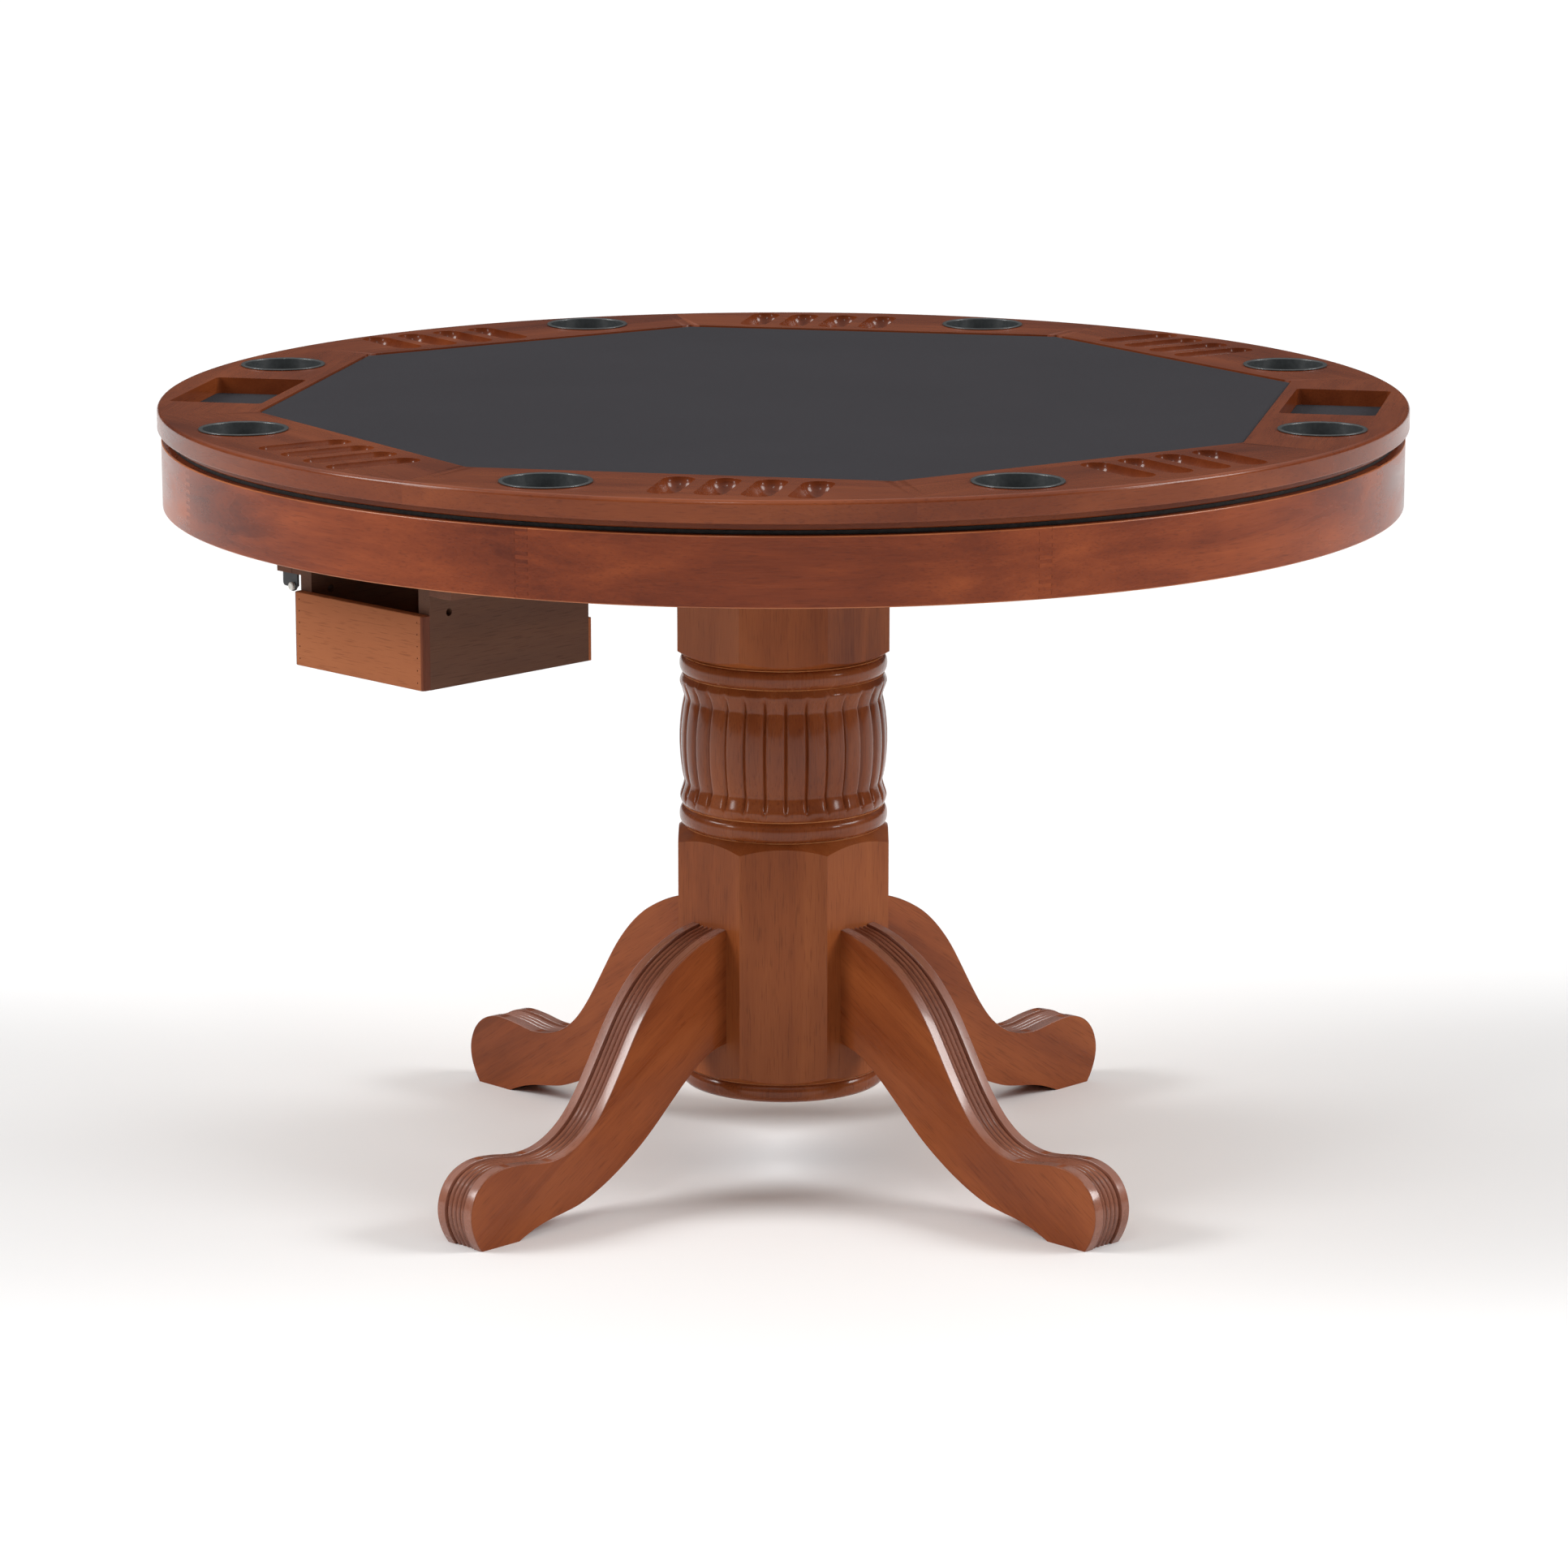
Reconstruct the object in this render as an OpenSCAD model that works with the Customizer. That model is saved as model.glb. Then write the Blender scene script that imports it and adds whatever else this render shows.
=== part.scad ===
// Round reversible game table: loose game top, apron frame, pedestal and slide-out box.
// Units are millimetres; +Z is up; the origin is on the floor under the column.

/* [Game top] */
// Radius of the round top
top_r = 609.6; // [600:0.2:612]
// Height of the top face above the floor
top_z = 774; // [770:1:780]
// Thickness of the segmented rim
rim_t = 21.4; // [20:0.1:24]
// Turn of the loose top on its frame, degrees
top_turn = -11.4; // [-20:0.1:20]
// Corner radius of the octagonal playing surface
felt_r = 515; // [505:1:520]
// Radius where the drink cups sit
cup_ring_r = 550; // [546:1:554]
// Radius of each cup hole
cup_hole_r = 40.3; // [38:0.1:42]

/* [Chip slots and trays] */
// Length of one chip slot
slot_len = 94; // [80:1:96]
// Half width and depth of one chip slot
slot_r = 14.75; // [12:0.25:15]
// Spacing of the chip slots
slot_pitch = 42.5; // [38:0.5:44]
// Depth of the two open trays
tray_depth = 17; // [12:0.5:18]

/* [Apron frame] */
// Outer radius of the apron
apron_r = 606; // [600:1:608]
// Thickness of the apron wall
apron_t = 20; // [16:1:24]
// Lower edge of the apron above the floor
apron_z0 = 677; // [676:0.5:678]
// Upper edge of the apron above the floor
apron_z1 = 741.7; // [738:0.1:743]

/* [Pedestal] */
// Distance from column centre to each flat of the octagon
col_a = 104; // [100:1:106]
// Thickness of each leg
leg_t = 48.8; // [44:0.2:52]

/* [Box] */
// Width of the sliding box
box_w = 180; // [176:1:182]
// Distance from the table centre to the front of the box
box_x = 547; // [540:1:550]
// Underside of the box above the floor
box_z0 = 570; // [560:0.5:575]
// Height of the box front
box_front_h = 69.5; // [60:1:80]

/* [Hidden] */
fn_big = 128;
fn_mid = 64;
rim_z0 = top_z - rim_t;
step_z0 = rim_z0 - 6.6;
step_r = 601;
panel_z1 = top_z - 2.7;
felt_t = 1.5;
tray_z = top_z - tray_depth;
hair = 0.03;
deck_z0 = 706;
bearer_z0 = 678;
box_side_t = 15;
box_front_t = 9;
box_y = -6;
box_back_x = box_x - 206;
box_top = 675;
cleat_y = 103;
cleat_w_left = 21;
cleat_w_right = 19;
cleat_z_left = 653.5;
cleat_z_right = 657.5;
chan_z0 = 657;
chan_z1 = 675;
roller_z = 666;

wood = [0.45, 0.22, 0.12];
glossy = [0.62, 0.30, 0.14];
board = [0.55, 0.40, 0.26];
cloth = [0.16, 0.155, 0.17];
dark = [0.05, 0.05, 0.055];
steel = [0.10, 0.10, 0.11];
zinc = [0.62, 0.62, 0.62];
nylon = [0.90, 0.90, 0.88];

// octagonal prism with its flats square to the given direction
module octagon(a, z0, z1) {
  translate([0, 0, z0])
    rotate([0, 0, 22.5])
      cylinder(h = z1 - z0, r = a / cos(22.5), $fn = 8);
}

// one long round-bottomed slot, centred, long way along X
module slot_cut() {
  half = slot_len / 2 - slot_r;
  translate([-half, 0, 0])
    rotate([0, 90, 0])
      cylinder(h = 2 * half, r = slot_r, $fn = 16);
  for (s = [-1, 1])
    translate([s * half, 0, 0])
      sphere(r = slot_r, $fn = 16);
}

// rounded rectangle pocket for an open tray
module tray_cut(l, w, z0, z1, r) {
  translate([0, 0, z0])
    linear_extrude(height = z1 - z0)
      polygon([[-l / 2 + r, -w / 2], [l / 2 - r, -w / 2], [l / 2 - 0.3 * r, -w / 2 + 0.3 * r],
        [l / 2, -w / 2 + r], [l / 2, w / 2 - r], [l / 2 - 0.3 * r, w / 2 - 0.3 * r],
        [l / 2 - r, w / 2], [-l / 2 + r, w / 2], [-l / 2 + 0.3 * r, w / 2 - 0.3 * r],
        [-l / 2, w / 2 - r], [-l / 2, -w / 2 + r], [-l / 2 + 0.3 * r, -w / 2 + 0.3 * r]]);
}

// ring of rectangular section with small edge chamfers
module ring(ro, ri, z0, z1, c) {
  rotate_extrude($fn = fn_big)
    polygon([[ri, z0], [ro - c, z0], [ro, z0 + c], [ro, z1 - c], [ro - c, z1], [ri, z1]]);
}

// keeps only the part of its children between two radial planes
module sector(a0, span, z0, z1) {
  difference() {
    children();
    rotate([0, 0, a0])
      translate([-700, -1400, z0])
        cube([1400, 1400, z1 - z0]);
    rotate([0, 0, a0 + span])
      translate([-700, 0, z0])
        cube([1400, 1400, z1 - z0]);
  }
}

module rim_shape(k) {
  difference() {
    sector(top_turn - 22.5 + 45 * k, 45, rim_z0 - 5, top_z + 5)
      difference() {
        rotate_extrude($fn = fn_big)
          polygon([[470, rim_z0], [top_r - 1.5, rim_z0], [top_r, rim_z0 + 1.5],
            [top_r, top_z - 3], [top_r - 0.9, top_z - 0.9], [top_r - 3, top_z], [470, top_z]]);
        rotate([0, 0, top_turn])
          octagon(felt_r * cos(22.5), rim_z0 - 1, top_z + 1);
      }
    rotate([0, 0, top_turn + 45 * k - 11.25])
      translate([cup_ring_r, 0, rim_z0 - 1])
        cylinder(h = rim_t + 2, r = cup_hole_r, $fn = 48);
    if (k == 0 || k == 4)
      rotate([0, 0, top_turn + 45 * k])
        translate([533.5, 68.5, 0])
          tray_cut(93, 161, tray_z, top_z + 1, 5);
    if (k != 0 && k != 4)
      rotate([0, 0, top_turn + 45 * k])
        for (i = [0:3])
          translate([536, 6.25 + i * slot_pitch, top_z])
            slot_cut();
  }
}

module top_rim(k) {
  color(wood)
    rim_shape(k);
}

module playing_panel() {
  color(board)
    rotate([0, 0, top_turn])
      octagon(felt_r * cos(22.5), rim_z0 + hair, panel_z1 - hair);
}

module playing_felt() {
  color(cloth)
    rotate([0, 0, top_turn])
      octagon(felt_r * cos(22.5) - 0.4, panel_z1, panel_z1 + felt_t);
}

module dining_panel() {
  color(wood)
    rotate_extrude($fn = fn_big)
      polygon([[0, step_z0], [step_r - 1.5, step_z0], [step_r, step_z0 + 1.5],
        [step_r, rim_z0], [0, rim_z0]]);
}

module tray_felts() {
  color(cloth)
    for (k = [0, 4])
      rotate([0, 0, top_turn + 45 * k])
        translate([533.5, 68.5, 0])
          tray_cut(92.4, 160.4, tray_z, tray_z + 1.2, 5);
}

module cup_liner(k) {
  color(dark)
    rotate([0, 0, top_turn + 45 * k - 11.25])
      translate([cup_ring_r, 0, 0])
        rotate_extrude($fn = 48)
          polygon([[0, top_z - 20.4], [cup_hole_r - 2.1, top_z - 20.4],
            [cup_hole_r - 0.1, top_z - 18.4], [cup_hole_r - 0.1, top_z + hair],
            [42.5, top_z + hair],
            [42.5, top_z + 0.8], [41.7, top_z + 1.6], [38.6, top_z + 1.6],
            [38.2, top_z], [38.2, top_z - 18.4], [0, top_z - 18.4]]);
}

module apron(k) {
  color(glossy)
    sector(22.5 + 45 * (k - 1), 45, apron_z0 - 5, apron_z1 + 5)
      ring(apron_r, apron_r - apron_t, apron_z0, apron_z1, 1.2);
}

module rest_ring() {
  color(dark)
    ring(598, 587, apron_z1, step_z0 - 0.2, 0.4);
}

module deck() {
  color(board)
    translate([0, 0, deck_z0])
      cylinder(h = 12, r = apron_r - apron_t, $fn = fn_big);
}

module bearer_bar(z0, z1, n0, n1) {
  intersection() {
    difference() {
      translate([-600, -35, z0])
        cube([1200, 70, z1 - z0]);
      translate([-35, -36, n0])
        cube([70, 72, n1 - n0]);
      for (a = [45:90:315])
        rotate([0, 0, a])
          translate([32, 0, bearer_z0 - 1])
            cylinder(h = 40, r = 4, $fn = 24);
    }
    translate([0, 0, z0 - 1])
      cylinder(h = z1 - z0 + 2, r = apron_r - apron_t, $fn = fn_big);
  }
}

module bearer_x() {
  color(board)
    difference() {
      bearer_bar(bearer_z0, deck_z0, bearer_z0 + 14, deck_z0 + 1);
      for (a = [45:90:315])
        rotate([0, 0, a])
          translate([32, 0, bearer_z0 + 14])
            cylinder(h = 20, r = 8, $fn = 24);
    }
}

module bearer_y() {
  color(board)
    rotate([0, 0, 90])
      difference() {
        bearer_bar(bearer_z0, deck_z0, bearer_z0 - 1, bearer_z0 + 14);
        for (a = [45:90:315])
          rotate([0, 0, a])
            translate([32, 0, deck_z0 - 6])
              cylinder(h = 7, r = 8, $fn = 24);
      }
}

module column_plate() {
  color(steel)
    difference() {
      translate([-85, -85, 674])
        cube([170, 170, 4]);
      for (a = [45:90:315])
        rotate([0, 0, a])
          translate([32, 0, 673])
            cylinder(h = 6, r = 4, $fn = 24);
    }
}

module column_bolts() {
  color(zinc)
    for (a = [45:90:315])
      rotate([0, 0, a])
        translate([32, 0, 0]) {
          translate([0, 0, 610])
            cylinder(h = deck_z0 - 616, r = 4, $fn = 24);
          translate([0, 0, deck_z0 - 6])
            cylinder(h = 6, r = 7.8, $fn = 24);
        }
}

module column_upper_block() {
  color(wood)
    difference() {
      intersection() {
        octagon(col_a, 515, 674);
        rotate_extrude($fn = fn_mid)
          polygon([[0, 519], [97, 519], [104, 523], [120, 533], [120, 674], [0, 674]]);
      }
      for (a = [45:90:315])
        rotate([0, 0, a])
          translate([32, 0, 610])
            cylinder(h = 70, r = 4, $fn = 24);
    }
}

module upper_bead_ring() {
  color(wood)
    rotate_extrude($fn = fn_mid)
      polygon([[0, 500], [98.4, 500], [101.2, 502.6], [102.4, 506], [102.6, 509.5],
        [102.3, 513.5], [101, 516.8], [98.4, 519], [0, 519]]);
}

module reeded_drum() {
  color(wood)
    rotate_extrude($fn = fn_mid)
      polygon([[0, 368], [99.6, 368], [101.5, 371.5], [102.7, 376.5], [101.4, 381.5],
        [99, 387], [98.3, 393], [98.9, 400], [100.3, 409], [101.8, 420], [102.7, 434],
        [102.2, 446], [100.8, 457], [99.2, 467], [98, 475], [99.2, 481.5], [101, 486],
        [102.5, 491], [101.3, 496], [99.2, 500], [0, 500]]);
}

module lower_bead_ring() {
  color(wood)
    rotate_extrude($fn = fn_mid)
      polygon([[0, 347], [98.6, 347], [101.4, 349.6], [102.9, 353], [103.1, 357],
        [102.6, 361.5], [101.2, 365], [99, 368], [0, 368]]);
}

module column_lower_block() {
  color(wood)
    difference() {
      intersection() {
        octagon(col_a, 104, 352);
        rotate_extrude($fn = fn_mid)
          polygon([[0, 104], [102, 104], [120, 116], [120, 330.5], [104, 342], [97, 347],
            [0, 347]]);
      }
      translate([0, 0, 103])
        cylinder(h = 181, r = 60, $fn = fn_mid);
      for (a = [45:90:315])
        rotate([0, 0, a])
          for (z = [175, 232])
            translate([50, 0, z])
              rotate([0, 90, 0])
                cylinder(h = 60, r = 4, $fn = 24);
    }
}

module column_base_ring() {
  color(wood)
    rotate_extrude($fn = fn_mid)
      polygon([[60, 85], [99, 85], [101.4, 87], [102.8, 91], [103, 95.5], [102.4, 99.5],
        [101.4, 102.4], [100.6, 104], [60, 104]]);
}

module leg_shape() {
  difference() {
    rotate([90, 0, 0])
      translate([0, 0, -leg_t / 2])
        linear_extrude(height = leg_t)
          polygon([[col_a, 258.5], [118, 256], [131, 252.5], [145, 247.2], [160, 240],
            [176, 230.6], [190, 219.6], [202, 207.8], [213.5, 194.4], [224, 179.8],
            [236, 160.8], [249, 139.8], [263, 118.6], [277, 101], [290, 89], [305, 79.6],
            [322, 73.4], [340, 71.2], [357, 72.4], [376, 75.4], [398, 76.8], [414, 74],
            [428, 67], [438, 55.5], [443.3, 40], [442.6, 25], [437, 10], [430.5, 0],
            [382, 0], [376, 2.8], [360, 8.9], [342, 13.4], [322, 16.6], [302, 20.6],
            [282, 28], [262, 37.6], [241, 49.8], [220, 64], [200, 80.2], [181, 97.2],
            [160, 115.4], [140, 130.4], [122, 139.4], [col_a, 143.4]]);
    for (z = [175, 232])
      translate([col_a - 1, 0, z])
        rotate([0, 90, 0])
          cylinder(h = 41, r = 4, $fn = 24);
  }
}

module leg(k) {
  color(wood)
    rotate([0, 0, 45 + 90 * (k - 1)])
      leg_shape();
}

module leg_bolts() {
  color(zinc)
    for (a = [45:90:315])
      rotate([0, 0, a])
        for (z = [175, 232])
          translate([0, 0, z])
            rotate([0, 90, 0]) {
              translate([0, 0, 58])
                cylinder(h = col_a + 40 - 58, r = 4, $fn = 24);
              translate([0, 0, 50])
                cylinder(h = 8, r = 8, $fn = 24);
            }
}

// the box and its slides: local X points out of the frame, local Y across the box
module box_frame() {
  rotate([0, 0, 225])
    translate([0, box_y, 0])
      children();
}

module cleat(s, x1, w, z0) {
  color(board)
    box_frame()
      translate([box_back_x, s > 0 ? cleat_y : -cleat_y - w, z0])
        cube([x1 - box_back_x, w, deck_z0 - z0]);
}

module channel(s) {
  color(steel)
    box_frame()
      scale([1, s, 1])
        translate([box_back_x, 0, 0])
          rotate([90, 0, 90])
            linear_extrude(height = 192)
              polygon([[cleat_y, chan_z0], [92, chan_z0], [92, chan_z0 + 2],
                [cleat_y - 2, chan_z0 + 2], [cleat_y - 2, chan_z1 - 2], [92, chan_z1 - 2],
                [92, chan_z1], [cleat_y, chan_z1]]);
}

module slide_bracket() {
  color(steel)
    box_frame()
      translate([529, 0, 0])
        rotate([90, 0, 90])
          linear_extrude(height = 2)
            polygon([[-103.3, cleat_z_left], [-124, cleat_z_left], [-124, 641.7],
              [-123, 639.7], [-121, 638.9], [-115.1, 638.8], [-114.1, 636.6], [-112, 635.1],
              [-109.5, 634.9], [-107.2, 636], [-105.7, 638], [-103.3, 640.5]]);
}

module nylon_button() {
  color(nylon)
    box_frame()
      translate([531, -110.3, 639.7])
        rotate([0, 90, 0])
          rotate_extrude($fn = 24)
            polygon([[0, 0], [3.7, 0], [3.7, 2.4], [2.9, 3.2], [1.4, 3.2], [1.2, 2.8],
              [0, 2.8]]);
}

module box_front() {
  color(glossy)
    box_frame()
      translate([0, 0, box_z0])
        linear_extrude(height = box_front_h)
          polygon([[box_x - box_front_t, -box_w / 2], [box_x - 4, -box_w / 2],
            [box_x - 1.2, -box_w / 2 + 1.2], [box_x, -box_w / 2 + 4],
            [box_x, box_w / 2 - 4], [box_x - 1.2, box_w / 2 - 1.2],
            [box_x - 4, box_w / 2], [box_x - box_front_t, box_w / 2]]);
}

module box_back() {
  color(wood)
    box_frame()
      translate([0, 0, box_z0])
        linear_extrude(height = 40.5)
          polygon([[box_back_x, -box_w / 2], [box_back_x, box_w / 2],
            [box_back_x - 3, box_w / 2], [box_back_x - 5, box_w / 2 - 2],
            [box_back_x - 5, -box_w / 2 + 2], [box_back_x - 3, -box_w / 2]]);
}

module box_side(s) {
  color(board)
    box_frame()
      difference() {
        translate([box_back_x, s > 0 ? box_w / 2 - box_side_t : -box_w / 2, box_z0])
          cube([box_x - box_front_t - box_back_x, box_side_t, box_top - box_z0]);
        translate([514.5, s * box_w / 2 - 20, 639.5])
          rotate([-90, 0, 0])
            cylinder(h = 40, r = 3.5, $fn = 24);
      }
}

module box_bottom() {
  color(board)
    box_frame()
      translate([box_back_x, -box_w / 2 + box_side_t, box_z0])
        cube([box_x - box_front_t - box_back_x, box_w - 2 * box_side_t, 6]);
}

module box_blocks() {
  color(wood)
    box_frame()
      for (s = [-1, 1])
        translate([533.5, s > 0 ? box_w / 2 : -box_w / 2 - 12.5, s > 0 ? 657.5 : 653.5])
          cube([4.5, 12.5, s > 0 ? box_top - 657.5 : box_top - 653.5]);
}

module box_runners() {
  color(zinc)
    box_frame()
      for (s = [-1, 1])
        scale([1, s, 1]) {
          translate([box_back_x + 26, box_w / 2, 660])
            cube([165, 8, 12]);
          translate([box_back_x + 2, box_w / 2, 660])
            cube([24, 1.5, 12]);
          translate([box_back_x + 10, box_w / 2 + 1.5, roller_z])
            rotate([-90, 0, 0])
              cylinder(h = 8, r = 1.5, $fn = 24);
        }
}

module box_roller(s) {
  color(nylon)
    box_frame()
      translate([box_back_x + 10, s * (box_w / 2 + 5.75), roller_z])
        rotate([-90, 0, 0])
          difference() {
            translate([0, 0, -3])
              cylinder(h = 6, r = 6.85, $fn = 32);
            translate([0, 0, -4])
              cylinder(h = 8, r = 1.55, $fn = 24);
          }
}

top_rim(0);  // top_rim_1
top_rim(1);  // top_rim_2
top_rim(2);  // top_rim_3
top_rim(3);  // top_rim_4
top_rim(4);  // top_rim_5
top_rim(5);  // top_rim_6
top_rim(6);  // top_rim_7
top_rim(7);  // top_rim_8
playing_panel();
playing_felt();
dining_panel();
tray_felts();
cup_liner(0);  // cup_liner_1
cup_liner(1);  // cup_liner_2
cup_liner(2);  // cup_liner_3
cup_liner(3);  // cup_liner_4
cup_liner(4);  // cup_liner_5
cup_liner(5);  // cup_liner_6
cup_liner(6);  // cup_liner_7
cup_liner(7);  // cup_liner_8
apron(1);  // apron_1
apron(2);  // apron_2
apron(3);  // apron_3
apron(4);  // apron_4
apron(5);  // apron_5
apron(6);  // apron_6
apron(7);  // apron_7
apron(8);  // apron_8
rest_ring();
deck();
bearer_x();
bearer_y();
column_plate();
column_bolts();
column_upper_block();
upper_bead_ring();
reeded_drum();
lower_bead_ring();
column_lower_block();
column_base_ring();
leg(1);  // leg_1
leg(2);  // leg_2
leg(3);  // leg_3
leg(4);  // leg_4
leg_bolts();
cleat(-1, 538, cleat_w_left, cleat_z_left);  // cleat_left
cleat(1, 540, cleat_w_right, cleat_z_right);  // cleat_right
channel(-1);  // slide_channel_left
channel(1);  // slide_channel_right
slide_bracket();
nylon_button();
box_front();
box_back();
box_side(-1);  // box_side_left
box_side(1);  // box_side_right
box_bottom();
box_blocks();
box_runners();
box_roller(-1);  // box_roller_left
box_roller(1);  // box_roller_right
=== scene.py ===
"""Looks for the round reversible game table.

Lengths are in millimetres until mesh_piece() scales them to metres.
"""
import math

import bmesh
import bpy
from mathutils import Matrix, Vector


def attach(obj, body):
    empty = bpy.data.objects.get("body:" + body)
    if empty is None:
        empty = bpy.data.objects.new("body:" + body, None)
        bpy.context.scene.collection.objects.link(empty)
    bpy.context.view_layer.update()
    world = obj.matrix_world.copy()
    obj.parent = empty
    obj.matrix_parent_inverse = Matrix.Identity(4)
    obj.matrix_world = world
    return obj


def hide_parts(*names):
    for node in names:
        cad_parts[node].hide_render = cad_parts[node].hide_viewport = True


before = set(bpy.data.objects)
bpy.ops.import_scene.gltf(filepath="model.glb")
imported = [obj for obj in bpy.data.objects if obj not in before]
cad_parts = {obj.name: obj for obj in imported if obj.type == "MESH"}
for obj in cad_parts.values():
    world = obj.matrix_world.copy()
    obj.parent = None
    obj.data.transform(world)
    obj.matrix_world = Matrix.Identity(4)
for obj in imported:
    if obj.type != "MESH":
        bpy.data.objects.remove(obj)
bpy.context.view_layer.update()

MM = 0.001
# top: eight segments, turned about Z by TURN degrees
SEGMENT = 45.0
HALF_SEGMENT = SEGMENT / 2
TURN = -11.4
TOP_Z = 774.0
RIM_Z0 = 752.6
TOP_R = 609.6
FELT_R = 515.0
APOTHEM = FELT_R * math.cos(math.radians(HALF_SEGMENT))
CUP_R = 40.3
CUP_CIRCLE = 550.0
CUP_TURN = -11.25
SLOT_R = 14.75
SLOT_HALF = 47.0 - SLOT_R
SLOT_X, SLOT_Y, SLOT_PITCH = 536.0, 6.25, 42.5
TRAY_X, TRAY_Y, TRAY_Z = 533.5, 68.5, 757.0
# frame, column and legs
APRON_Z0, APRON_Z1 = 677.0, 741.7
APRON_OUT, APRON_IN = 606.0, 586.0
COL_A = 104.0
LEG_HALF = 24.4
REEDS = 30
GROOVE_TURN = 88.6


# ---------------------------------------------------------------- materials
def srgb(r, g, b):
    """Linear colour from 0-255 display values."""
    def lin(c):
        c /= 255.0
        return c / 12.92 if c <= 0.04045 else ((c + 0.055) / 1.055) ** 2.4
    return (lin(r), lin(g), lin(b), 1.0)


def new_material(name):
    mat = bpy.data.materials.new(name)
    mat.use_nodes = True
    nt = mat.node_tree
    nt.nodes.clear()
    out = nt.nodes.new("ShaderNodeOutputMaterial")
    bsdf = nt.nodes.new("ShaderNodeBsdfPrincipled")
    nt.links.new(bsdf.outputs[0], out.inputs[0])
    return mat, nt, bsdf


def node(nt, kind, **settings):
    n = nt.nodes.new(kind)
    for key, value in settings.items():
        if hasattr(n, key):
            setattr(n, key, value)
        else:
            n.inputs[key].default_value = value
    return n


def ramp(nt, stops):
    n = nt.nodes.new("ShaderNodeValToRGB")
    cr = n.color_ramp
    while len(cr.elements) < len(stops):
        cr.elements.new(0.5)
    for el, (pos, col) in zip(cr.elements, stops):
        el.position = pos
        el.color = col
    return n


def math_node(nt, op, a, b=None):
    n = nt.nodes.new("ShaderNodeMath")
    n.operation = op
    for i, v in enumerate((a, b)):
        if v is None:
            continue
        if isinstance(v, (int, float)):
            n.inputs[i].default_value = v
        else:
            nt.links.new(v, n.inputs[i])
    return n.outputs[0]


def wood(name, dark, mid, light, grain="Y", turn=0.0, tilt=0.0, rough=0.3, coat=0.12,
         figure=1.0, seed=0.0, fibre=0.35, cad=False, spec=0.12):
    """Stained wood, with its grain along one axis of the piece's own frame.

    turn and tilt rotate the grain, in degrees. cad=True is for a CAD node, which has no
    "grain" attribute and takes its own coordinates.
    """
    mat, nt, bsdf = new_material(name)
    L = nt.links.new
    info = node(nt, "ShaderNodeObjectInfo")
    rot = node(nt, "ShaderNodeMapping")
    if cad:
        where = node(nt, "ShaderNodeTexCoord").outputs["Object"]
    else:
        where = node(nt, "ShaderNodeAttribute", attribute_name="grain").outputs["Vector"]
    L(where, rot.inputs["Vector"])
    rot.inputs["Rotation"].default_value = (0, math.radians(tilt), math.radians(turn))
    shift = node(nt, "ShaderNodeVectorMath", operation="ADD")
    L(rot.outputs[0], shift.inputs[0])
    offs = node(nt, "ShaderNodeCombineXYZ")
    rnd = math_node(nt, "MULTIPLY", info.outputs["Random"], 3.7)
    L(rnd, offs.inputs[0])
    L(rnd, offs.inputs[1])
    offs.inputs[2].default_value = seed
    L(offs.outputs[0], shift.inputs[1])
    base = shift.outputs[0]

    def stretched(across, along):
        m = node(nt, "ShaderNodeMapping")
        L(base, m.inputs["Vector"])
        s = [across, across, across]
        s["XYZ".index(grain)] = along
        m.inputs["Scale"].default_value = s
        return m.outputs[0]

    # broad cloudy colour of the stain
    cloud = node(nt, "ShaderNodeTexNoise", Scale=1.0, Detail=3.0, Roughness=0.55)
    L(stretched(9.0, 3.2), cloud.inputs["Vector"])
    # growth figure: long wavering bands
    bands = node(nt, "ShaderNodeTexNoise", Scale=1.0, Detail=4.0, Roughness=0.6, Distortion=0.6)
    L(stretched(38.0, 3.0), bands.inputs["Vector"])
    # fine fibres and pores
    fine = node(nt, "ShaderNodeTexNoise", Scale=1.0, Detail=3.0, Roughness=0.7)
    L(stretched(420.0, 16.0), fine.inputs["Vector"])
    pores = node(nt, "ShaderNodeTexNoise", Scale=1.0, Detail=1.0, Roughness=0.5)
    L(stretched(900.0, 45.0), pores.inputs["Vector"])

    a = math_node(nt, "MULTIPLY", cloud.outputs["Fac"], 0.62)
    b = math_node(nt, "MULTIPLY", bands.outputs["Fac"], 0.38 * figure)
    c = math_node(nt, "MULTIPLY", fine.outputs["Fac"], fibre * 0.35)
    tone = math_node(nt, "ADD", math_node(nt, "ADD", a, b), c)
    tone = math_node(nt, "ADD", tone, math_node(nt, "MULTIPLY", info.outputs["Random"], 0.05))
    lo = 0.5 + 0.19 * figure - 0.19 + fibre * 0.175
    col = ramp(nt, [(lo - 0.16, dark), (lo, mid), (lo + 0.17, light)])
    L(tone, col.inputs[0])
    pore_dark = ramp(nt, [(0.30, (0.55, 0.5, 0.48, 1)), (0.42, (1, 1, 1, 1))])
    L(pores.outputs["Fac"], pore_dark.inputs[0])
    mix = node(nt, "ShaderNodeMix", data_type="RGBA", blend_type="MULTIPLY")
    mix.inputs["Factor"].default_value = 0.5
    L(col.outputs[0], mix.inputs["A"])
    L(pore_dark.outputs[0], mix.inputs["B"])
    L(mix.outputs["Result"], bsdf.inputs["Base Color"])
    rr = ramp(nt, [(0.3, (rough - 0.05,) * 3 + (1,)), (0.7, (rough + 0.08,) * 3 + (1,))])
    L(bands.outputs["Fac"], rr.inputs[0])
    L(rr.outputs[0], bsdf.inputs["Roughness"])
    bump = node(nt, "ShaderNodeBump", Strength=0.10, Distance=0.0006)
    L(fine.outputs["Fac"], bump.inputs["Height"])
    L(bump.outputs[0], bsdf.inputs["Normal"])
    bsdf.inputs["Coat Weight"].default_value = coat
    bsdf.inputs["Coat Roughness"].default_value = 0.12
    bsdf.inputs["Specular IOR Level"].default_value = spec
    return mat


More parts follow.
